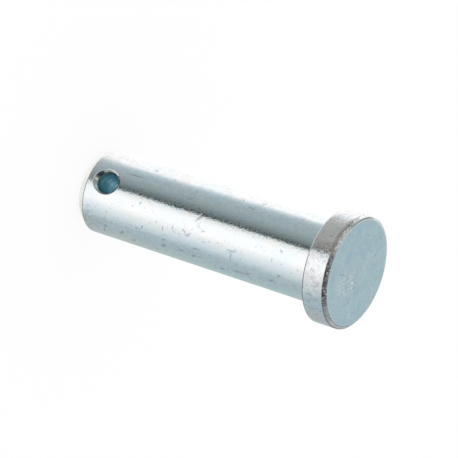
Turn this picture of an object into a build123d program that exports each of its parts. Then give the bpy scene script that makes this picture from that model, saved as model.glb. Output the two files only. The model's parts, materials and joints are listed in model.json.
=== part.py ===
from build123d import *
import os

# Clevis pin: a plain steel shank, headed at one end and cross-drilled for a
# cotter near the other. The pin stands on its tip, in millimetres: Z runs up
# the shank from the tip face (Z = 0) to the head, and the cross hole runs
# along Y.

# shank
shank_diameter = 14.0
under_head_length = 46.5  # tip face to the underside of the head
tip_chamfer_width = 1.3  # measured across the tip face
tip_chamfer_length = 1.6  # measured along the shank

# head
head_diameter = 19.0
head_height = 4.0
head_chamfer_width = 0.7  # measured across the head's face
head_chamfer_length = 0.4  # measured down the head's rim
under_head_fillet = 0.4  # where the shank runs into the head
seat_edge_radius = 0.2  # rounded outer edge of the head's underside

# cotter hole
hole_diameter = 3.8
hole_to_tip = 5.1  # hole centre to the tip face
countersink_width = 0.7  # how far each mouth widens past the bore, all round
countersink_angle = 90.0  # included angle of both mouths

shank_radius = shank_diameter / 2
head_radius = head_diameter / 2
head_top = under_head_length + head_height
hole_radius = hole_diameter / 2


with BuildPart() as clevis_pin:
    # half section of the turned pin, from its axis outwards
    with BuildSketch(Plane.XZ) as half_section:
        with BuildLine():
            Polyline(
                (0, 0),
                (shank_radius - tip_chamfer_width, 0),
                (shank_radius, tip_chamfer_length),
                (shank_radius, under_head_length),
                (head_radius, under_head_length),
                (head_radius, head_top - head_chamfer_length),
                (head_radius - head_chamfer_width, head_top),
                (0, head_top),
                close=True,
            )
        make_face()
        root_corner = half_section.vertices().sort_by_distance((shank_radius, under_head_length))[0]
        fillet(root_corner, radius=under_head_fillet)
        seat_corner = half_section.vertices().sort_by_distance((head_radius, under_head_length))[0]
        fillet(seat_corner, radius=seat_edge_radius)
    revolve(axis=Axis.Z)

    # cotter hole: drilled right through, with a countersunk mouth on both sides
    for side in (-1, 1):
        mouth = Plane(origin=(0, side * shank_radius, hole_to_tip), z_dir=(0, side, 0))
        with Locations(mouth):
            CounterSinkHole(
                radius=hole_radius,
                counter_sink_radius=hole_radius + countersink_width,
                counter_sink_angle=countersink_angle,
            )

clevis_pin.part.label = "clevis_pin"

os.makedirs("parts", exist_ok=True)
export_step(clevis_pin.part, "parts/clevis_pin.step")
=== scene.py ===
import json
import math
import random
import bpy
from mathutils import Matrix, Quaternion, Vector
from mathutils.kdtree import KDTree


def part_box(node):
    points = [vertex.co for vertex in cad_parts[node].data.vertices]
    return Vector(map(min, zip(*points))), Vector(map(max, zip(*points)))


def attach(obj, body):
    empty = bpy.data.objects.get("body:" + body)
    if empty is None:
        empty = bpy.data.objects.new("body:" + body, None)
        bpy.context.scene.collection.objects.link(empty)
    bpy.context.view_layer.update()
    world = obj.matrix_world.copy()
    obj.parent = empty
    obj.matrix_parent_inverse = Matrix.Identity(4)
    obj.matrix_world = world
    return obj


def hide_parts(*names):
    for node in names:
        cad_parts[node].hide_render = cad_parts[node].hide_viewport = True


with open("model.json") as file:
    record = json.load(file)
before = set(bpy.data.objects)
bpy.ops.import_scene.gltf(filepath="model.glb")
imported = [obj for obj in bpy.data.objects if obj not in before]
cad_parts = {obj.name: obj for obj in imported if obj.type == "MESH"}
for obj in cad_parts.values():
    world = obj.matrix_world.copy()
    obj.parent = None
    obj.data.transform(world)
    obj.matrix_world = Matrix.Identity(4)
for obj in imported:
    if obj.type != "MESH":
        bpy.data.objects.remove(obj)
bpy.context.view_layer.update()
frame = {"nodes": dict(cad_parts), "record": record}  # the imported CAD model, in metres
mounts = {mount["name"]: mount for mount in frame["record"]["mounts"]}
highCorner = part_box("clevis_pin")[1]
mm = 0.001
print("frame loaded:", ", ".join(frame["nodes"]))


class Wire:  # a node's output socket; sums on wires add Math nodes
    def __init__(self, graph, socket):
        self.graph = graph
        self.socket = socket

    def out(self, name):  # another output of the same node
        return Wire(self.graph, self.graph.pick(self.socket.node.outputs, name))

    def math(self, operation, *values):
        return self.graph.add("ShaderNodeMath", {"operation": operation}, dict(enumerate(values)))

    def __add__(self, other):
        return self.math("ADD", self, other)

    def __sub__(self, other):
        return self.math("SUBTRACT", self, other)

    def __mul__(self, other):
        return self.math("MULTIPLY", self, other)

    def __truediv__(self, other):
        return self.math("DIVIDE", self, other)

    def __pow__(self, other):
        return self.math("POWER", self, other)

    def __radd__(self, other):
        return self.math("ADD", other, self)

    def __rsub__(self, other):
        return self.math("SUBTRACT", other, self)

    def __rmul__(self, other):
        return self.math("MULTIPLY", other, self)

    def __gt__(self, other):
        return self.math("GREATER_THAN", self, other)

    def atLeast(self, other):  # the larger of the two
        return self.math("MAXIMUM", self, other)

    def ramped(self, low, high):  # 0 below low, 1 above high, smooth between
        kind = {"interpolation_type": "SMOOTHSTEP"}
        limits = {"Value": self, "From Min": low, "From Max": high}
        return self.graph.add("ShaderNodeMapRange", kind, limits)


class Graph:  # one node tree, shader or geometry
    def __init__(self, tree):
        self.tree = tree

    def pick(self, sockets, key):  # a socket by its place or its name
        if isinstance(key, int):
            return sockets[key]
        return next(socket for socket in sockets if socket.name == key and socket.enabled)

    def add(self, kind, settings=None, inputs=None, output=0):
        node = self.tree.nodes.new(kind)
        for name, value in (settings or {}).items():
            if name == "stops":
                self.setStops(node.color_ramp, value)
            elif name == "items":
                while len(node.index_switch_items) < value:
                    node.index_switch_items.new()
            else:
                setattr(node, name, value)
        for key, value in (inputs or {}).items():
            socket = self.pick(node.inputs, key)
            if isinstance(value, Wire):
                self.tree.links.new(value.socket, socket)
            else:
                socket.default_value = value
        return Wire(self, self.pick(node.outputs, output)) if output is not None else None

    def setStops(self, ramp, stops):  # stops are (place, grey)
        while len(ramp.elements) < len(stops):
            ramp.elements.new(1)
        for element, (place, tone) in zip(ramp.elements, stops):
            element.position = place
            element.color = (tone, tone, tone, 1)

    def point(self, x, y, z):
        return self.add("ShaderNodeCombineXYZ", {}, {"X": x, "Y": y, "Z": z})

    def split(self, vector):
        x = self.add("ShaderNodeSeparateXYZ", {}, {"Vector": vector})
        return x, x.out("Y"), x.out("Z")

    def scaled(self, vector, factor):
        inputs = {"Vector": vector, "Scale": factor}
        return self.add("ShaderNodeVectorMath", {"operation": "SCALE"}, inputs)

    def measure(self, operation, first, second):  # one number from two vectors
        inputs = {0: first, 1: second}
        return self.add("ShaderNodeVectorMath", {"operation": operation}, inputs, "Value")

    def noise(self, vector, scale, detail, roughness, seed):
        return self.add(
            "ShaderNodeTexNoise",
            {"noise_dimensions": "4D"},
            {"Vector": vector, "Scale": scale, "Detail": detail, "Roughness": roughness, "W": seed},
        )

    def cells(self, vector, scale):  # distance to the nearest of many points, and that one's chance
        inputs = {"Vector": vector, "Scale": scale, "Randomness": 1.0}
        distance = self.add("ShaderNodeTexVoronoi", {}, inputs, "Distance")
        return distance, self.split(distance.out("Color"))[0]

    def mixed(self, share, first, second):  # colours
        return self.add("ShaderNodeMix", {"data_type": "RGBA"}, {0: share, 6: first, 7: second}, 2)


def emptyGraph(owner):  # the cleared node tree of a material or a world
    owner.use_nodes = True
    owner.node_tree.nodes.clear()
    return Graph(owner.node_tree)


# the camera looks from the head's side, turned about its own axis
view = {
    "azimuth": 12.8,  # degrees round the pin, from the side that the cotter hole opens to
    "elevation": 29.79,
    "distance": 0.5474,  # in metres
    "aim": (-0.00037, 0.00026, 0.02584),
    "roll": 107.98,  # lays the standing pin over to the right
    "lens": 264.2,
}


def makeCamera():
    turn, tilt = math.radians(view["azimuth"]), math.radians(view["elevation"])
    level = math.cos(tilt)
    back = Vector((math.sin(turn) * level, -math.cos(turn) * level, math.sin(tilt)))
    camera = bpy.data.objects.new("camera", bpy.data.cameras.new("camera"))
    bpy.context.scene.collection.objects.link(camera)
    camera.data.lens = view["lens"]
    camera.location = Vector(view["aim"]) + back * view["distance"]
    upright = (-back).to_track_quat("-Z", "Y")
    camera.rotation_mode = "QUATERNION"
    camera.rotation_quaternion = upright @ Quaternion((0, 0, 1), math.radians(view["roll"]))
    bpy.context.scene.camera = camera


makeCamera()
print("camera made")


# the pin's surface: one turned body, cross-drilled
pin = {
    "shankRadius": mounts["shank"]["dims"]["r_mm"] * mm,
    "seatHeight": mounts["head_seat"]["pos_m"][2],
    "headRadius": highCorner.x + 0.07 * mm,  # struck a touch fuller than its nominal size
    "headTop": highCorner.z + 0.18 * mm,
    "tipChamferWidth": 1.3 * mm,
    "tipChamferLength": 1.6 * mm,
    "headChamferWidth": 0.57 * mm,
    "headChamferLength": 0.32 * mm,
    "rootFillet": 0.4 * mm,
    "seatEdgeRadius": 0.2 * mm,
    "faceEdgeRadius": 0.8 * mm,  # the chamfer runs softly into the face
    "brokenEdge": 0.1 * mm,  # rounding of the other edges
    "holeRadius": mounts["cotter_hole"]["dims"]["r_mm"] * mm,
    "holeHeight": mounts["cotter_hole"]["pos_m"][2],
    "countersinkWidth": 0.7 * mm,
    "faceShiftX": -0.07 * mm,  # how far the head's face lies off centre
    "faceShiftY": 0.26 * mm,
    "rimRelief": 0.01 * mm,  # how far each surface strays from true
    "chamferRelief": 0.04 * mm,
    "faceRelief": 0.012 * mm,
    "shankRelief": 0.0025 * mm,
    "segments": 360,
    "drillSegments": 120,
    "shankStep": 0.31 * mm,  # spacing of the rings
    "headStep": 0.16 * mm,
    "faceStep": 0.5 * mm,
    "seed": 4,
}


def cornerSwitch(graph, kind, values):  # one value for each corner, by its index
    index = graph.add("GeometryNodeInputIndex")
    inputs = {"Index": index}
    inputs.update({place + 1: value for place, value in enumerate(values)})
    return graph.add("GeometryNodeIndexSwitch", {"data_type": kind, "items": len(values)}, inputs)


def stored(graph, geometry, name, value):  # keeps a number for each point
    return graph.add(
        "GeometryNodeStoreNamedAttribute",
        {"data_type": "FLOAT", "domain": "POINT"},
        {"Geometry": geometry, "Name": name, "Value": value},
    )


def profileCurve(graph, corners, radii, steps):  # a filleted outline in XZ, cut into short runs
    line = graph.add("GeometryNodeMeshLine", {}, {"Count": len(corners)})
    places = cornerSwitch(graph, "VECTOR", [graph.point(x, 0.0, z) for x, z in corners])
    line = graph.add("GeometryNodeSetPosition", {}, {"Geometry": line, "Position": places})
    curve = graph.add("GeometryNodeMeshToCurve", {}, {"Mesh": line})
    curve = stored(graph, curve, "step", cornerSwitch(graph, "FLOAT", steps))
    fillet = cornerSwitch(graph, "FLOAT", radii)
    curve = graph.add(
        "GeometryNodeFilletCurve",
        {"mode": "POLY"},
        {"Curve": curve, "Count": 4, "Radius": fillet, "Limit Radius": True},
    )
    index = graph.add("GeometryNodeInputIndex")
    position = graph.add("GeometryNodeInputPosition")
    ahead = graph.add(
        "GeometryNodeFieldAtIndex",
        {"data_type": "FLOAT_VECTOR", "domain": "POINT"},
        {"Index": index + 1, "Value": position},
    )
    run = graph.measure("DISTANCE", position, ahead)
    step = graph.add("GeometryNodeInputNamedAttribute", {"data_type": "FLOAT"}, {"Name": "step"})
    return graph.add("GeometryNodeSubdivideCurve", {}, {"Curve": curve, "Cuts": run / step})


def turned(graph, profile, segments):  # the profile swept round Z
    rings = graph.add(
        "GeometryNodeAttributeDomainSize",
        {"component": "CURVE"},
        {"Geometry": profile},
        "Point Count",
    )
    sheet = graph.add(
        "GeometryNodeMeshGrid",
        {},
        {"Size X": 1.0, "Size Y": 1.0, "Vertices X": segments + 1, "Vertices Y": rings},
        "Mesh",
    )
    position = graph.add("GeometryNodeInputPosition")
    across, up, _ = graph.split(position)
    ring = (up + 0.5) * (rings - 1) + 0.5
    sample = graph.add(
        "GeometryNodeSampleIndex",
        {"data_type": "FLOAT_VECTOR", "domain": "POINT"},
        {"Geometry": profile, "Value": position, "Index": ring},
    )
    radius, _, height = graph.split(sample)
    angle = (across + 0.5) * math.tau
    out, side = angle.math("COSINE", angle), angle.math("SINE", angle)
    place = graph.point(radius * out, radius * side, height)
    sheet = graph.add("GeometryNodeSetPosition", {}, {"Geometry": sheet, "Position": place})
    weld = 0.002 * mm  # closes the poles and the seam
    return graph.add("GeometryNodeMergeByDistance", {}, {"Geometry": sheet, "Distance": weld})


def buildPinTree():
    tree = bpy.data.node_groups.new("turnedPin", "GeometryNodeTree")
    graph = Graph(tree)

    def addInput(name, kind):
        return tree.interface.new_socket(name, in_out="INPUT", socket_type=kind).identifier

    addInput("Geometry", "NodeSocketGeometry")
    inputs = {}
    for name, number in pin.items():
        kind = "NodeSocketInt" if isinstance(number, int) else "NodeSocketFloat"
        inputs[name] = addInput(name, kind)
    inputs["finish"] = addInput("finish", "NodeSocketMaterial")
    tree.interface.new_socket("Geometry", in_out="OUTPUT", socket_type="NodeSocketGeometry")
    entry = graph.add("NodeGroupInput")
    value = {name: entry.out(name) for name in inputs}

    shank, seat = value["shankRadius"], value["seatHeight"]
    head, top = value["headRadius"], value["headTop"]
    chamferStart = top - value["headChamferLength"]
    edge, fine, wide = value["brokenEdge"], value["headStep"], value["faceStep"]
    corners = [
        (0.0, 0.0),
        (shank - value["tipChamferWidth"], 0.0),
        (shank, value["tipChamferLength"]),
        (shank, seat),
        (head, seat),
        (head, chamferStart),
        (head - value["headChamferWidth"], top),
        (0.0, top),
    ]
    root, seatEdge, faceEdge = value["rootFillet"], value["seatEdgeRadius"], value["faceEdgeRadius"]
    radii = [0.0, edge, edge, root, seatEdge, edge, faceEdge, 0.0]
    steps = [wide, fine, value["shankStep"], wide, fine, fine, wide, wide]
    body = turned(graph, profileCurve(graph, corners, radii, steps), value["segments"])

    bore, sink = value["holeRadius"], value["countersinkWidth"]
    spare = 0.5 * mm  # how far the drill's mouths reach past the shank
    mouth, reach, neck = bore + sink + spare, shank + spare, shank - sink
    corners = [
        (0.0, 0.0 - reach),
        (mouth, 0.0 - reach),
        (bore, 0.0 - neck),
        (bore, neck),
        (mouth, reach),
        (0.0, reach),
    ]
    radii = [0.0, 0.0, edge, edge, 0.0, 0.0]
    steps = [wide, fine, value["shankStep"], fine, wide, wide]
    drill = turned(graph, profileCurve(graph, corners, radii, steps), value["drillSegments"])
    holePlace, sideways = graph.point(0.0, 0.0, value["holeHeight"]), (math.pi / 2, 0, 0)
    drill = graph.add(
        "GeometryNodeTransform",
        {},
        {"Geometry": drill, "Translation": holePlace, "Rotation": sideways},
    )
    body = graph.add(
        "GeometryNodeMeshBoolean",
        {"operation": "DIFFERENCE", "solver": "EXACT"},
        {"Mesh 1": body, "Mesh 2": drill},
    )

    # masks that the relief and the finish share
    position = graph.add("GeometryNodeInputPosition")
    x, y, z = graph.split(position)
    radius = (x * x + y * y) ** 0.5
    onFace = (z - top).ramped(-0.01 * mm, -0.002 * mm)
    onChamfer = (z - chamferStart).ramped(-0.12 * mm, 0.02 * mm) * (1 - onFace)
    onRim = (radius - head).ramped(-0.12 * mm, -0.02 * mm) * (z > seat)
    for name, mask in (("onFace", onFace), ("onChamfer", onChamfer), ("onRim", onRim)):
        body = stored(graph, body, name, mask)

    # the face lies a little off centre, so its chamfer is wider on one side
    lift = (z - chamferStart).ramped(0.0, value["headChamferLength"]) * (radius / head)
    shift = graph.point(value["faceShiftX"] * lift, value["faceShiftY"] * lift, 0.0)
    body = graph.add("GeometryNodeSetPosition", {}, {"Geometry": body, "Offset": shift})

    # relief: an uneven sheared rim, a pressed face and a faintly rippled shank
    def relief(mask, depth, scale, detail, seed):  # scale is per metre
        grain = graph.noise(position, scale, detail, 0.55, value["seed"] + seed)
        return mask * (grain - 0.5) * (2 * depth)

    height = relief(onRim, value["rimRelief"], 700.0, 1.0, 0)
    height = height + relief(onChamfer, value["chamferRelief"], 700.0, 3.0, 1)
    height = height + relief(onFace, value["faceRelief"], 260.0, 2.0, 2)
    height = height + relief(1 - onRim, value["shankRelief"], 420.0, 2.0, 3)
    offset = graph.scaled(graph.add("GeometryNodeInputNormal"), height)
    body = graph.add("GeometryNodeSetPosition", {}, {"Geometry": body, "Offset": offset})
    body = graph.add("GeometryNodeRealizeInstances", {}, {"Geometry": body})
    body = graph.add("GeometryNodeSetMaterial", {}, {"Geometry": body, "Material": value["finish"]})
    output = tree.nodes.new("NodeGroupOutput")
    tree.links.new(body.socket, output.inputs[0])
    return tree, inputs


def makePinBody(finish):
    tree, inputs = buildPinTree()
    holder = bpy.data.objects.new("pinHolder", bpy.data.meshes.new("pinHolder"))
    bpy.context.scene.collection.objects.link(holder)
    turning = holder.modifiers.new("turning", "NODES")
    turning.node_group = tree
    for name, value in pin.items():
        turning[inputs[name]] = value
    turning[inputs["finish"]] = finish
    evaluated = holder.evaluated_get(bpy.context.evaluated_depsgraph_get())
    mesh = bpy.data.meshes.new_from_object(evaluated)
    mesh.materials.clear()  # drops the empty slot that the drilling leaves
    mesh.materials.append(finish)
    bpy.data.objects.remove(holder)
    body = bpy.data.objects.new("turnedPin", mesh)
    bpy.context.scene.collection.objects.link(body)
    mesh.name = "turnedPin"
    mesh.shade_smooth()
    crispFrom = 28  # edges bent by more degrees than this stay crisp
    mesh.set_sharp_from_angle(angle=math.radians(crispFrom))
    print("pin turned and drilled")
    return body


# small dents from handling and from the plating barrel
nicks = {
    "depth": 0.014 * mm,
    "spread": 1.35,  # enlarges every nick
    "reach": 3.0,  # how many half lengths round a nick its dent fades over
    "fade": 1.5,  # and how quickly it fades
    "headWeight": 0.7,  # strength of the head's nicks next to the shank's
    # fainter nicks strewn over the shank, in the units of the list below
    "scatter": 190,
    "scatterSeed": 11,
    "scatterHeights": (3, 45),
    "scatterAngles": (15, 325),
    "scatterLengths": (0.1, 0.32),
    "scatterWidths": (0.07, 0.14),
    "scatterWeights": (0.2, 0.8),
    # height in mm, angle in degrees from the cotter hole, half length and half
    # width in mm, and slant in degrees from the shank's length
    "shank": [
        (12.7, 14, 0.25, 0.14, 60), (24.2, 8, 0.75, 0.22, 55), (25.5, 24, 0.3, 0.12, 20),
        (19.7, 32, 0.3, 0.12, 80), (22.0, 32, 0.4, 0.16, -35), (22.9, 35, 0.45, 0.14, 50),
        (17.8, 38, 0.35, 0.1, 85), (13.7, 46, 0.3, 0.12, 75), (12.6, 50, 0.25, 0.14, 0),
        (31.3, 38, 0.7, 0.1, 0), (31.2, 46, 0.5, 0.12, 80), (40.4, 17, 0.3, 0.16, -30),
        (39.0, 32, 0.25, 0.1, 85), (40.5, 52, 0.3, 0.16, 30), (6.1, 64, 0.3, 0.18, 60),
        (9.3, 67, 0.45, 0.18, 35), (5.5, 74, 0.35, 0.16, 70), (11.4, 76, 0.45, 0.16, 35),
        (17.8, 65, 0.4, 0.26, 35), (18.0, 54, 0.3, 0.14, 15), (21.4, 63, 0.4, 0.14, 15),
        (23.7, 66, 0.35, 0.16, 35), (29.0, 74, 0.6, 0.2, 25), (32.2, 69, 0.9, 0.16, 10),
        (34.2, 67, 0.45, 0.16, 30), (38.8, 64, 0.5, 0.16, 30), (24.3, 52, 0.7, 0.12, 5),
        (12.0, -42, 0.4, 0.16, -20), (33.2, -44, 0.4, 0.16, 75), (31.9, -28, 0.6, 0.1, -10),
        (9.5, -21, 1.3, 0.08, 3), (21.2, -13, 0.4, 0.1, 30),
    ],
    "rim": [
        (48.4, 29.5, 0.3, 0.1, 20), (48.75, 34, 0.22, 0.16, 70), (49.1, 36, 0.3, 0.1, -40),
        (49.5, 35, 0.2, 0.14, 60), (49.0, 38.5, 0.5, 0.09, 10), (47.8, 23, 0.25, 0.1, 80),
        (48.3, 24, 0.25, 0.1, 70), (49.75, 12, 0.16, 0.14, 0), (47.6, 1.5, 0.25, 0.1, 40),
        (48.2, 3, 0.3, 0.12, -50), (49.3, 2.5, 0.25, 0.1, 30), (48.8, 7, 0.2, 0.1, 75),
        (47.6, 48.5, 0.35, 0.09, 5), (48.3, 49, 0.35, 0.1, -8), (47.8, 57.5, 0.3, 0.12, 70),
        (49.2, 52.5, 0.3, 0.1, 15), (48.0, 66, 0.4, 0.1, 10), (49.4, 63, 0.3, 0.1, -15),
        (47.4, 40, 0.25, 0.08, 80), (48.8, 72, 0.3, 0.12, 30), (47.7, -41, 0.45, 0.1, 75),
        (48.2, -46, 0.35, 0.1, 80), (49.2, -46, 0.4, 0.12, 60), (49.3, -24, 0.4, 0.1, 20),
        (48.9, -13, 0.35, 0.1, 10), (47.3, -12, 0.3, 0.08, 70),
    ],
    # on the head's face: X and Y in mm, half length, half width, and slant from X
    "face": [
        (2.03, -3.94, 0.6, 0.18, 110), (1.81, -1.83, 0.35, 0.12, 60), (0.38, 0.47, 0.2, 0.1, 0),
        (1.18, 0.29, 0.2, 0.1, 40), (3.16, -1.08, 0.4, 0.22, 80), (2.20, 1.33, 0.3, 0.18, 0),
        (4.70, 1.53, 0.2, 0.14, 0), (-7.84, -3.20, 0.12, 0.1, 0), (-2.85, 2.22, 0.12, 0.1, 0),
    ],
}


def nickFrames():  # centre, outward normal, long direction, half length, half width, weight
    rng = random.Random(nicks["scatterSeed"])
    strewn = []
    for _ in range(nicks["scatter"]):
        height = rng.uniform(*nicks["scatterHeights"])
        angle = rng.uniform(*nicks["scatterAngles"])
        length = rng.uniform(*nicks["scatterLengths"])
        width = rng.uniform(*nicks["scatterWidths"])
        slant = rng.uniform(-90, 90)
        strewn.append((height, angle, length, width, slant, rng.uniform(*nicks["scatterWeights"])))
    onShank = [(*nick, 1.0) for nick in nicks["shank"]]
    onRim = [(*nick, nicks["headWeight"]) for nick in nicks["rim"]]
    for height, angle, length, width, slant, weight in onShank + onRim + strewn:
        turn = math.radians(angle - 90)
        normal = Vector((math.cos(turn), math.sin(turn), 0))
        tangent = Vector((-normal.y, normal.x, 0))
        tilt = math.radians(slant)
        along = Vector((0, 0, 1)) * math.cos(tilt) - tangent * math.sin(tilt)
        radius = pin["headRadius"] if height * mm > pin["seatHeight"] else pin["shankRadius"]
        centre = normal * radius + Vector((0, 0, height * mm))
        yield centre, normal, along, length * mm, width * mm, weight
    for x, y, length, width, slant in nicks["face"]:
        tilt = math.radians(slant)
        along = Vector((math.cos(tilt), math.sin(tilt), 0))
        centre = Vector((x * mm, y * mm, pin["headTop"]))
        yield centre, Vector((0, 0, 1)), along, length * mm, width * mm, nicks["headWeight"]


def addNicks(body):  # dents the mesh; each point keeps its place in its nearest nick
    mesh = body.data
    tree = KDTree(len(mesh.vertices))
    for vertex in mesh.vertices:
        tree.insert(vertex.co, vertex.index)
    tree.balance()
    far = nicks["reach"] * 3  # past the reach of every nick
    places = [(far, far, 0.0)] * len(mesh.vertices)  # along and across the nick, and its weight
    offsets = {}
    for centre, normal, along, length, width, weight in nickFrames():
        across = normal.cross(along)
        length, width = length * nicks["spread"], width * nicks["spread"]
        for point, index, _ in tree.find_range(centre, nicks["reach"] * length):
            gap = point - centre
            u, v = gap.dot(along) / length, gap.dot(across) / width
            if u * u + v * v < places[index][0] ** 2 + places[index][1] ** 2:
                places[index] = (u, v, weight)
            dent = math.exp(-(u * u + v * v) * nicks["fade"]) * nicks["depth"] * weight
            offsets[index] = offsets.get(index, Vector()) - normal * dent
    for index, offset in offsets.items():
        mesh.vertices[index].co += offset
    layer = mesh.attributes.new("nickPlace", "FLOAT_VECTOR", "POINT")
    layer.data.foreach_set("vector", [value for place in places for value in place])
    print("nicks pressed in:", len(offsets), "points moved")


# the finish: blue zinc plate over turned steel
plate = {
    "zinc": (0.86, 0.90, 0.92, 1),
    "coolZinc": (0.80, 0.89, 0.94, 1),  # where the passivate is thicker
    "tealZinc": (0.74, 0.90, 0.87, 1),
    "lilacZinc": (0.90, 0.87, 0.89, 1),
    "strawZinc": (0.88, 0.87, 0.80, 1),
    "dullZinc": (0.60, 0.63, 0.65, 1),  # in the grain
    "tipZinc": (0.97, 0.90, 0.88, 1),  # on the shank beside its tip
    "paleTip": (0.98, 0.985, 0.98, 1),  # on the tip's chamfer
    "warmReflectionTint": (0.93, 0.80, 0.75, 1),
    # a warm brown for the rim's painted reflection
    "hazedZinc": (0.84, 0.83, 0.90, 1),  # in patches on the head's rim
    "lowZinc": (0.79, 0.74, 0.76, 1),  # along the underside of the rim
    "lipZinc": (0.97, 0.78, 0.72, 1),  # along the underside of the head's chamfer
    "faceZinc": (0.622, 0.772, 0.778, 1),  # on the head's face
    "coolFace": (0.584, 0.736, 0.826, 1),
    "paleFace": (0.72, 0.84, 0.85, 1),
    # pale: scuffs, and the painted highlight on the centre mark
    "scuffAndHighlightFace": (0.94, 0.94, 0.93, 1),
    "boreZinc": (0.235, 0.456, 0.505, 1),
    "paleBore": (0.55, 0.73, 0.81, 1),
    "sinkZinc": (0.84, 0.87, 0.84, 1),  # in the hole's countersunk mouths
    "coolSink": (0.70, 0.84, 0.92, 1),
    "bruise": (0.33, 0.34, 0.36, 1),
    # near black: dirt, and painted shade
    "grimeAndShade": (0.04, 0.04, 0.045, 1),
    "chalkAndGlints": (0.85, 0.85, 0.82, 1),  # where the plate is crushed to powder, and painted glints and highlights
    # tarnish, and painted shade on the rim
    "tarnishAndShade": (0.30, 0.28, 0.25, 1),
    "shankRoughness": 0.09,
    "rimRoughness": 0.16,
    "chamferRoughness": 0.12,
    "faceRoughness": 0.40,
    "holeRoughness": 0.30,
    "grimeRoughness": 0.60,
    "lineWidth": 0.1,  # half width in mm of the dirt along the turned corners
    # sides of the pin, in degrees round it from X
    "wornSide": -72,  # rubbed clean
    "tealSide": 3,
    "warmSide": -96,
    "smoothSide": -145,  # where the shank is smoothest
    "pittedSide": -86,  # and where it is roughest
    "grimySide": -22,  # where dirt spots the shank near its tip
    "paleTipSide": -122,  # where the tip's chamfer is rubbed pale
    "umberSide": -107,  # where the head's rim is warmest: a painted reflection of a brown band
    "smudgedSide": -50,  # where it is smudged
    "rubbedSide": -15,  # where it is rubbed in streaks
    "crackedSide": -84,  # where hair lines cross it
    # where the rim has dust and painted highlights
    "dustySide": -92,
    "seatShadeSide": -25,  # where painted shade lies along the rim's corner at the seat
    "creasedSide": -45,  # and along its corner at the chamfer
    "shadedChamferSide": -60,  # where the head's chamfer is darkest: dirt and painted shade
    "halfShadedChamferSide": -30,  # where it is half as dark, with painted shade
    "brightSide": 170,  # where it is cleanest
    "scoredSide": -143,  # where dirt lies along the face's edge
    # spots in mm, each with its reach
    "mouthShadowSpot": ((-1.13, -6.6, 3.14), 1.3),  # a painted shadow in the near mouth
    "sinkCrumbs": ((0.1, -6.6, 2.83), 1.4),
    "sinkShade": ((-2.2, -6.6, 4.5), 1.2),
    "sinkGlint": ((-2.0, -6.5, 6.0), 1.5),
    "pip": ((1.83, 0.26, 50.68), 0.34),  # the centre mark of the head's face, painted white as a highlight
    "haze": ((2.71, -1.41, 50.68), 4.2),  # where the face is scuffed
    "seed": 2.0,
}


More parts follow.
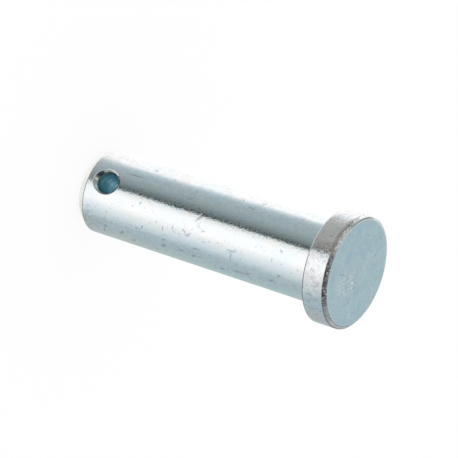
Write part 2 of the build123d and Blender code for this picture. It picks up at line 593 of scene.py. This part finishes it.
def makeZincPlate():  # lengths here are in mm
    material = bpy.data.materials.new("zincPlate")
    graph = emptyGraph(material)
    seed = plate["seed"]
    size = {name: value / mm for name, value in pin.items()}
    place = graph.scaled(graph.add("ShaderNodeTexCoord", {}, {}, "Object"), 1 / mm)
    x, y, z = graph.split(place)
    radius = (x * x + y * y) ** 0.5

    def mask(name):  # one of the masks that the mesh carries
        return graph.add("ShaderNodeAttribute", {"attribute_name": name}, {}, "Fac")

    def facing(side):  # 1 on this side of the pin, -1 on the other
        turn = math.radians(plate[side])
        return (x * math.cos(turn) + y * math.sin(turn)) / radius

    def near(spot):  # 1 round a spot, 0 past its reach
        point, reach = plate[spot]
        return 1 - graph.measure("DISTANCE", place, point).ramped(reach * 0.3, reach)

    def alongCorner(cornerRadius, cornerHeight, width):  # a thin band round a turned corner
        across, up = radius - cornerRadius, z - cornerHeight
        return 1 - ((across * across + up * up) ** 0.5).ramped(width * 0.4, width * 1.6)

    def tinted(colour, share, tint):  # a colour with a share of one of the plate's tints over it
        return graph.mixed(share, colour, plate[tint])

    onFace, onChamfer, onRim = mask("onFace"), mask("onChamfer"), mask("onRim")
    fromBore = (x * x + (z - size["holeHeight"]) ** 2) ** 0.5  # distance to the cross hole's axis
    mouthEdge = size["holeRadius"] + size["countersinkWidth"] + 0.3
    inMouth = 1 - radius.ramped(size["shankRadius"] - 0.12, size["shankRadius"] - 0.04)
    inMouth = inMouth * (1 - fromBore.ramped(mouthEdge, mouthEdge + 0.1))
    inBore = inMouth * (1 - fromBore.ramped(size["holeRadius"] + 0.005, size["holeRadius"] + 0.03))
    inSink = inMouth - inBore
    plain = (1 - onFace) * (1 - onChamfer) * (1 - onRim) * (1 - inMouth)
    faceEdge = size["headRadius"] - size["headChamferWidth"]
    shiftShare = faceEdge / size["headRadius"]  # how much of the face's shift its edge takes
    fromFaceX = x - size["faceShiftX"] * shiftShare
    fromFaceY = y - size["faceShiftY"] * shiftShare
    pastEdge = (fromFaceX ** 2 + fromFaceY ** 2) ** 0.5 - faceEdge  # distance out from that edge

    # noises that the colour, the dirt and the relief share
    drift = graph.noise(place, 0.22, 3, 0.55, seed)
    blotch = graph.noise(place, 0.9, 3, 0.6, seed + 1)
    patch = graph.noise(place, 0.7, 3, 0.65, seed + 10)
    fine = graph.noise(place, 5.0, 3, 0.65, seed + 4)
    speckle = graph.noise(place, 3.2, 4, 0.7, seed + 3)
    streaks = graph.noise(graph.point(x * 1.6, y * 1.6, z * 0.22), 1.0, 3, 0.6, seed + 8)
    coarse = graph.noise(place, 2.6, 4, 0.65, seed + 9)
    flakes = graph.noise(place, 3.0, 1, 0.5, seed + 12)
    rimMottle = graph.noise(place, 1.7, 1.5, 0.5, seed + 13)
    worn = facing("wornSide").ramped(0.80, 0.96)
    smooth = facing("smoothSide").ramped(0.75, 0.93)
    # the chamfer's darkest side, where dirt and painted shade gather
    shadedChamfer = facing("shadedChamferSide").ramped(0.77, 0.965)

    # the shank: drifting blue, teal, straw and lilac tints
    colour = graph.mixed(drift.ramped(0.35, 0.68), plate["zinc"], plate["coolZinc"])
    lowSide = plain * facing("tealSide").ramped(0.84, 1.0)
    headward = z.ramped(10.0, 30.0)
    colour = tinted(colour, lowSide * headward * patch.ramped(0.35, 0.6), "tealZinc")
    colour = tinted(colour, lowSide * (1 - headward), "strawZinc")
    colour = tinted(colour, lowSide * (1 - z.ramped(3.0, 9.0)) * 0.8, "tipZinc")
    warm = plain * facing("warmSide").ramped(0.92, 0.99) * patch.ramped(0.4, 0.58) * 0.6
    colour = tinted(colour, warm, "strawZinc")
    onTip = 1 - z.ramped(1.45, 1.6)
    colour = tinted(colour, onTip * facing("paleTipSide").ramped(0.7, 0.95), "paleTip")
    lilac = patch.ramped(0.53, 0.62) * (1 - worn) * 0.65
    tipStain = (1 - z.ramped(3.0, 13.0)) * streaks.ramped(0.35, 0.6) * coarse.ramped(0.35, 0.6)
    holeStain = (1 - fromBore.ramped(2.4, 5.0)) * blotch.ramped(0.3, 0.55)
    stain = plain * (1 - worn) * tipStain.atLeast(holeStain)
    colour = tinted(colour, lilac.atLeast(stain), "lilacZinc")

    # the head's rim and chamfer
    colour = tinted(colour, onRim * rimMottle.ramped(0.46, 0.62) * 0.4, "hazedZinc")
    colour = tinted(colour, onRim * facing("tealSide").ramped(0.86, 0.98), "lowZinc")
    colour = tinted(colour, onChamfer * facing("tealSide").ramped(0.80, 0.97), "lipZinc")
    smudge = onRim * facing("smudgedSide").ramped(0.93, 0.99)
    smudge = smudge * (0.25 + 0.4 * rimMottle.ramped(0.35, 0.6))
    colour = tinted(colour, smudge, "dullZinc")
    # painted reflection: warm brown on one side of the rim, for a reflected brown band
    warmReflection = onRim * facing("umberSide").ramped(0.91, 0.98)
    warmReflection = warmReflection * (z - size["seatHeight"]).ramped(0.15, 0.3)
    warmReflection = warmReflection * (0.75 + 0.25 * rimMottle.ramped(0.35, 0.55))
    colour = tinted(colour, warmReflection, "warmReflectionTint")
    colour = tinted(colour, onRim * coarse.ramped(0.46, 0.60) * 0.28, "dullZinc")

    # grain in the plate
    grit = fine.ramped(0.45, 0.65) * (0.42 - 0.3 * worn) * (1 - 0.6 * onRim) * (1 - 0.6 * smooth)
    colour = tinted(colour, grit, "dullZinc")
    cloudy = plain * (1 - worn) * rimMottle.ramped(0.42, 0.66) * 0.3
    colour = tinted(colour, cloudy, "dullZinc")

    # the head's face
    face = graph.mixed(patch.ramped(0.40, 0.6), plate["faceZinc"], plate["coolFace"])
    cloud = graph.noise(place, 0.3, 2, 0.5, seed + 14)
    face = tinted(face, cloud.ramped(0.42, 0.6) * 0.7, "paleFace")
    inHaze, onPip = onFace * near("haze"), near("pip")
    scuffsAndHighlight = onFace * blotch.ramped(0.5, 0.64) * 0.25
    scuffsAndHighlight = scuffsAndHighlight.atLeast(inHaze * coarse.ramped(0.43, 0.55) * 0.75)
    scuffsAndHighlight = scuffsAndHighlight.atLeast(pastEdge.ramped(-0.5, -0.1) * 0.6)
    # the centre mark, painted white and not metal: a painted highlight
    scuffsAndHighlight = scuffsAndHighlight.atLeast(onPip)
    face = tinted(face, scuffsAndHighlight, "scuffAndHighlightFace")
    face = tinted(face, rimMottle.ramped(0.5, 0.66) * 0.2, "coolZinc")
    face = tinted(face, fine.ramped(0.40, 0.62) * 0.35 + flakes.ramped(0.45, 0.7) * 0.3, "dullZinc")
    face = tinted(face, inHaze * (1 - flakes.ramped(0.36, 0.48)) * 0.3, "bruise")
    colour = graph.mixed(onFace, colour, face)

    # the cross hole's mouths and bore
    aboveHole = z - size["holeHeight"]
    sink = graph.mixed(aboveHole.ramped(0.2, 1.6), plate["sinkZinc"], plate["coolSink"])
    sink = tinted(sink, near("sinkShade") * 0.55, "bruise")
    colour = graph.mixed(inMouth, colour, sink)
    rings = graph.noise(graph.point(x * 0.5, y * 2.5, z * 0.5), 1.0, 1, 0.6, seed + 6)
    bore = graph.mixed(rings.ramped(0.38, 0.64), plate["boreZinc"], plate["paleBore"])
    colour = graph.mixed(inBore, colour, bore)

    # bruises in the nicks, pits and rubbed places
    pitDistance, pitChance = graph.cells(place, 0.7)
    pits = (1 - pitDistance.ramped(0.05, 0.2)) * pitChance.ramped(0.6, 0.7) * 0.4
    nick = graph.add("ShaderNodeAttribute", {"attribute_name": "nickPlace"}, {}, "Vector")
    along, across, weight = graph.split(nick)
    ragged = graph.noise(place, 5.5, 2, 0.6, seed + 2)
    bite = (along * along + across * across) + (ragged - 0.5) * 3.6
    bruise = (1 - bite.ramped(-0.4, 1.7)) * weight * 0.7
    rubs = plain * (1 - worn * 0.6) * speckle.ramped(0.57, 0.68) * blotch.ramped(0.48, 0.6) * 0.4
    rimRubs = onRim * facing("rubbedSide").ramped(0.72, 0.92)
    rimRubs = rimRubs * streaks.ramped(0.5, 0.6) * flakes.ramped(0.48, 0.6) * 0.45
    bruise = bruise.atLeast(pits).atLeast(rubs + rimRubs)
    colour = tinted(colour, bruise, "bruise")

    # tarnish along the turned corners and in rough spots, and painted shade round the rim's top
    # corner
    width = plate["lineWidth"]
    rimTop = size["headTop"] - size["headChamferLength"]
    rimLine = alongCorner(size["headRadius"] - 0.05, rimTop, width * 1.2)
    rimLine = rimLine * speckle.ramped(0.25, 0.48) * facing("creasedSide").ramped(0.0, 0.22)
    # painted shade: a soft dark band round the rim's top corner on its warm side
    shade = alongCorner(size["headRadius"], rimTop, width * 5)
    shade = shade * facing("umberSide").ramped(0.88, 0.97) * rimMottle.ramped(0.35, 0.6) * 0.6
    clean = facing("brightSide").ramped(0.7, 0.92) + 0.6 * facing("tealSide").ramped(0.80, 0.97)
    edgeDirt = onChamfer * facing("scoredSide").ramped(0.88, 0.97)
    edgeDirt = edgeDirt * (1 - pastEdge.ramped(0.1, 0.4)) * 0.5
    tipSpots = plain * (1 - z.ramped(2.0, 8.0)) * facing("grimySide").ramped(0.75, 0.95)
    tipSpots = tipSpots * coarse.ramped(0.45, 0.6) * 0.4
    crumbs = inSink * near("sinkCrumbs") * coarse.ramped(0.41, 0.53) * 0.85
    brown = onRim * blotch.ramped(0.58, 0.68) * flakes.ramped(0.5, 0.6) * 0.35
    tarnishAndShade = shade + onChamfer * (1 - clean) * coarse.ramped(0.46, 0.58) * 0.75
    for share in (rimLine * (1 - shadedChamfer), edgeDirt, tipSpots, crumbs, brown):
        tarnishAndShade = tarnishAndShade.atLeast(share)
    colour = tinted(colour, tarnishAndShade * 0.9, "tarnishAndShade")
    # painted shade, half as strong and mottled, on the chamfer beside its darkest side
    halfShadedChamfer = onChamfer * facing("halfShadedChamferSide").ramped(0.88, 0.98)
    halfShadedChamfer = halfShadedChamfer * (0.35 + 0.4 * coarse.ramped(0.45, 0.55))
    colour = tinted(colour, halfShadedChamfer, "bruise")

    # dark lines along the corners, hair lines and flecks, in the grime colour, with painted shade
    # along the rim's underside edge, on the chamfer's darkest side and in the near mouth
    tipLine = alongCorner(size["shankRadius"], size["tipChamferLength"], width)
    tipLine = tipLine * (0.7 - 0.6 * facing("smoothSide").ramped(0.6, 0.9))
    # painted shade: a dark line along the underside edge of the rim
    seatShadeLine = alongCorner(size["headRadius"], size["seatHeight"] + 0.1, width * 1.2)
    seatShadeLine = seatShadeLine * facing("seatShadeSide").ramped(0.3, 0.75) * 0.9
    farSide = 1 - facing("wornSide").ramped(0.0, 0.6)
    scored = facing("scoredSide").ramped(0.9, 0.98)
    faceLine = (1 - (pastEdge * pastEdge).ramped(0.0, 0.02)) * (onFace + onChamfer)
    faceLine = faceLine * (0.2 + 0.2 * farSide + 0.4 * scored)
    cracked = shadedChamfer * patch.ramped(0.46, 0.56) + facing("crackedSide").ramped(0.955, 0.985)
    hairLines = onRim * cracked * (1 - ((flakes - 0.5) ** 2).ramped(0.0, 0.0018))
    hairLines = hairLines * coarse.ramped(0.42, 0.56) * 0.2
    # dark flecks on the chamfer's darkest side: dirt and painted shade
    flecks = onChamfer * shadedChamfer * (1 - coarse.ramped(0.5, 0.6))
    flecks = flecks * (0.85 + 0.15 * pastEdge.ramped(0.1, 0.45))
    # painted shadow: a dark spot in the near mouth
    mouthShadow = inSink * near("mouthShadowSpot") * coarse.ramped(0.2, 0.35)
    sinkLine = inSink * radius.ramped(size["shankRadius"] - 0.32, size["shankRadius"] - 0.16)
    sinkLine = sinkLine * (1 - aboveHole.ramped(-0.5, 1.0)) * 0.45
    boreLine = inMouth * (1 - ((fromBore - size["holeRadius"]) ** 2).ramped(0.0, 0.012))
    boreLine = boreLine * radius.ramped(5.0, 6.0) * 0.35
    dirtAndShade = tipLine
    for share in (
        seatShadeLine,
        faceLine,
        rimLine * shadedChamfer,
        hairLines,
        flecks,
        mouthShadow,
        boreLine,
        sinkLine,
    ):
        dirtAndShade = dirtAndShade.atLeast(share)
    colour = tinted(colour, dirtAndShade, "grimeAndShade")

    # pale flecks: powdered plate with painted glints on the chamfer, a painted glint in the near
    # mouth, and dust with painted highlights on the rim
    chalkAndGlints = onChamfer * shadedChamfer * flakes.ramped(0.545, 0.615) * 0.38
    glint = inSink * near("sinkGlint") * flakes.ramped(0.36, 0.48) * 0.8
    dustAndGlints = onRim * facing("dustySide").ramped(0.965, 0.99) * (0.05 + 0.12 * coarse.ramped(0.4, 0.6))
    chalkAndGlints = chalkAndGlints.atLeast(glint + dustAndGlints)
    colour = tinted(colour, chalkAndGlints, "chalkAndGlints")

    rough = plate["shankRoughness"] + fine.ramped(0.5, 0.72) * (0.3 - 0.2 * smooth)
    rough = rough + (drift - 0.5) * 0.04 + (1 - z.ramped(2.0, 6.5)) * 0.12  # dull at the tip
    for share, level in (
        (onRim, plate["rimRoughness"]),
        (onChamfer, plate["chamferRoughness"]),
        (onFace, plate["faceRoughness"]),
        (inMouth, plate["holeRoughness"]),
        (dirtAndShade, plate["grimeRoughness"]),
    ):
        rough = rough * (1 - share) + share * (level + (fine - 0.5) * 0.2)

    # relief too fine for the mesh, in thousandths of a mm: draw marks, turning marks and grain
    drawn = graph.noise(graph.point(x * 1.1, y * 1.1, z * 0.14), 1.0, 2, 0.5, seed + 5)
    turnedMarks = graph.noise(graph.point(x * 1.8, y * 1.8, z * 3.4), 1.0, 0, 0.5, seed + 7)
    grain = graph.noise(place, 3.6, 1, 0.6, seed + 11)
    pimpleDistance, pimpleChance = graph.cells(place, 1.7)
    pimples = (1 - pimpleDistance.ramped(0.0, 0.2)) * pimpleChance.ramped(0.5, 0.8)
    marks = drawn * 12.0 + turnedMarks * 9.0 + grain * 12.0 + pimples * 6.0
    pitted = facing("pittedSide").ramped(0.95, 0.99) * speckle.ramped(0.5, 0.7) * 3.5
    burrs = flakes.ramped(0.55, 0.63) * 10.0
    height = plain * (1 - 0.85 * smooth) * marks + plain * pitted
    height = height + onRim * (rimMottle * 20.0 + grain * 14.0 + burrs * 0.3 * cracked)
    height = height + onChamfer * (coarse * 8.0 + burrs * (0.3 + 1.2 * shadedChamfer))
    height = height + onFace * (coarse * 42.0)
    height = height + inMouth * (rings * 14.0 + grain * 8.0)
    height = height + inSink * (coarse * 60.0 + burrs * 2.0) - dirtAndShade * 6.0
    relief = {"Strength": 1.0, "Distance": 0.001 * mm, "Height": height}
    normal = graph.add("ShaderNodeBump", {}, relief)

    metallic = 1 - dirtAndShade * 0.4 - onFace * scuffsAndHighlight * 0.2 - onPip * 0.9 - chalkAndGlints
    surface = graph.add(
        "ShaderNodeBsdfPrincipled",
        {},
        {"Base Color": colour, "Roughness": rough, "Metallic": metallic, "Normal": normal},
    )
    graph.add("ShaderNodeOutputMaterial", {}, {"Surface": surface}, None)
    print("zinc plate made")
    return material


pinBody = makePinBody(makeZincPlate())
addNicks(pinBody)
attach(pinBody, "root")
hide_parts("clevis_pin")
print("pin made:", len(pinBody.data.vertices), "points")


# the studio: a pale floor, an even light, and cards that the metal mirrors
studio = {
    "floorSize": 6.0,
    "shadowShare": 0.14,  # how much of the floor's look is lit, and so shaded by the pin
    "mirroredLevel": 1.205,  # brightness of a card of tone 1
    # tone of the cards round the pin, by angle in degrees from the camera's side
    "cards": [
        (-180, 0.91), (-150, 0.96), (-114, 0.97), (-109, 0.92), (-103, 0.66), (-98, 0.54),
        (-90, 0.435), (-78, 0.385), (-60, 0.37), (-44, 0.285), (-30, 0.175), (-23, 0.09),
        (-17.6, 0.02), (-13.6, 0.73), (-8, 0.85), (4, 0.97), (28, 0.965), (48, 0.76),
        (66, 0.63), (84, 0.45), (104, 0.42), (124, 0.445), (150, 0.47), (168, 0.46),
        (179, 0.60),
    ],
    "whiteCard": (1.0, 0.965, 0.945, 1),  # tint of the palest cards
    "greyCard": (0.87, 1.04, 1.08, 1),  # and of the darkest
    # the cards that stand askew: where they begin and end, as shares of a turn
    "askewStart": (0.08, 0.17),
    "askewEnd": (0.28, 0.35),
    "askewBelow": (-0.54, -0.46),  # height of their bend
    "askew": 17.6,  # how far they lean under the bend, in degrees
    "turnedBack": 4.7,  # and how far they are turned the other way
    # above and below the cards, by the height of the direction looked in
    "sky": (0.385, 0.485, 0.535, 1),  # the head's face mirrors it
    "skyStart": (-0.1, 0.3),
    "ceiling": (0.64, 0.62, 0.57, 1),
    "ceilingStart": (0.66, 0.82),
    "ground": (0.56, 0.57, 0.57, 1),
    "groundEnd": (-0.76, -0.62),
    # small cards: tint, direction, and the cosines at which each fades in and is full
    "smallCards": [
        ((0.78, 0.77, 0.72, 1), (-0.068, 0.301, -0.951), 0.83, 0.87),  # for the tip's chamfer
        ((0.65, 0.64, 0.62, 1), (-0.66, 0.62, 0.42), 0.92, 0.955),  # for the head's far chamfer
        ((1.0, 0.985, 0.96, 1), (-0.66, 0.68, 0.32), 0.928, 0.945),
        ((0.03, 0.03, 0.035, 1), (0.19, 0.20, 0.962), 0.915, 0.955),  # for its near chamfer
    ],
}


def makeWorld():
    world = bpy.data.worlds.new("studioSurround")
    bpy.context.scene.world = world
    world.cycles.sampling_method = "NONE"
    graph = emptyGraph(world)
    direction = graph.add("ShaderNodeTexCoord", {}, {}, "Generated")
    x, y, z = graph.split(direction)
    cameraAngle = math.radians(view["azimuth"] - 90)
    around = (y.math("ARCTAN2", y, x) - cameraAngle) / math.tau + 0.5
    around = around.math("FRACT", around)
    onAskew = around.ramped(*studio["askewStart"]) * (1 - around.ramped(*studio["askewEnd"]))
    lean = (1 - z.ramped(*studio["askewBelow"])) * studio["askew"] - studio["turnedBack"]
    around = around - onAskew * lean / 360
    stops = [((angle + 180) / 360, tone) for angle, tone in studio["cards"]]
    tone = graph.add("ShaderNodeValToRGB", {"stops": stops}, {"Fac": around})
    tint = graph.mixed(tone.ramped(0.35, 0.95), studio["greyCard"], studio["whiteCard"])
    multiply = {"data_type": "RGBA", "blend_type": "MULTIPLY"}
    surround = graph.add("ShaderNodeMix", multiply, {0: 1.0, 6: tint, 7: tone}, 2)
    surround = graph.mixed(z.ramped(*studio["skyStart"]), surround, studio["sky"])
    surround = graph.mixed(z.ramped(*studio["ceilingStart"]), surround, studio["ceiling"])
    surround = graph.mixed(1 - z.ramped(*studio["groundEnd"]), surround, studio["ground"])
    for tint, toward, start, full in studio["smallCards"]:
        share = graph.measure("DOT_PRODUCT", direction, toward).ramped(start, full)
        surround = graph.mixed(share, surround, tint)
    mirrored = {"Color": surround, "Strength": studio["mirroredLevel"]}
    mirrored = graph.add("ShaderNodeBackground", {}, mirrored)
    plain = graph.add("ShaderNodeBackground", {}, {"Color": (1, 1, 1, 1), "Strength": 1.0})
    isGlossy = graph.add("ShaderNodeLightPath", {}, {}, "Is Glossy Ray")
    both = graph.add("ShaderNodeMixShader", {}, {0: isGlossy, 1: plain, 2: mirrored})
    graph.add("ShaderNodeOutputWorld", {}, {"Surface": both}, None)


def makeFloor():
    half = studio["floorSize"] / 2
    corners = [(-half, -half, 0), (half, -half, 0), (half, half, 0), (-half, half, 0)]
    mesh = bpy.data.meshes.new("floor")
    mesh.from_pydata(corners, [], [(0, 1, 2, 3)])
    floor = bpy.data.objects.new("floor", mesh)
    bpy.context.scene.collection.objects.link(floor)
    floor.visible_glossy = False  # the metal mirrors the ground's card instead
    material = bpy.data.materials.new("paleFloor")
    graph = emptyGraph(material)
    white = (1, 1, 1, 1)
    lit = graph.add("ShaderNodeBsdfDiffuse", {}, {"Color": white})
    glow = graph.add("ShaderNodeEmission", {}, {"Color": white, "Strength": 1.0})
    both = graph.add("ShaderNodeMixShader", {}, {0: 1 - studio["shadowShare"], 1: lit, 2: glow})
    graph.add("ShaderNodeOutputMaterial", {}, {"Surface": both}, None)
    mesh.materials.append(material)


makeWorld()
makeFloor()
bpy.context.scene.view_settings.view_transform = "Standard"
print("studio made")
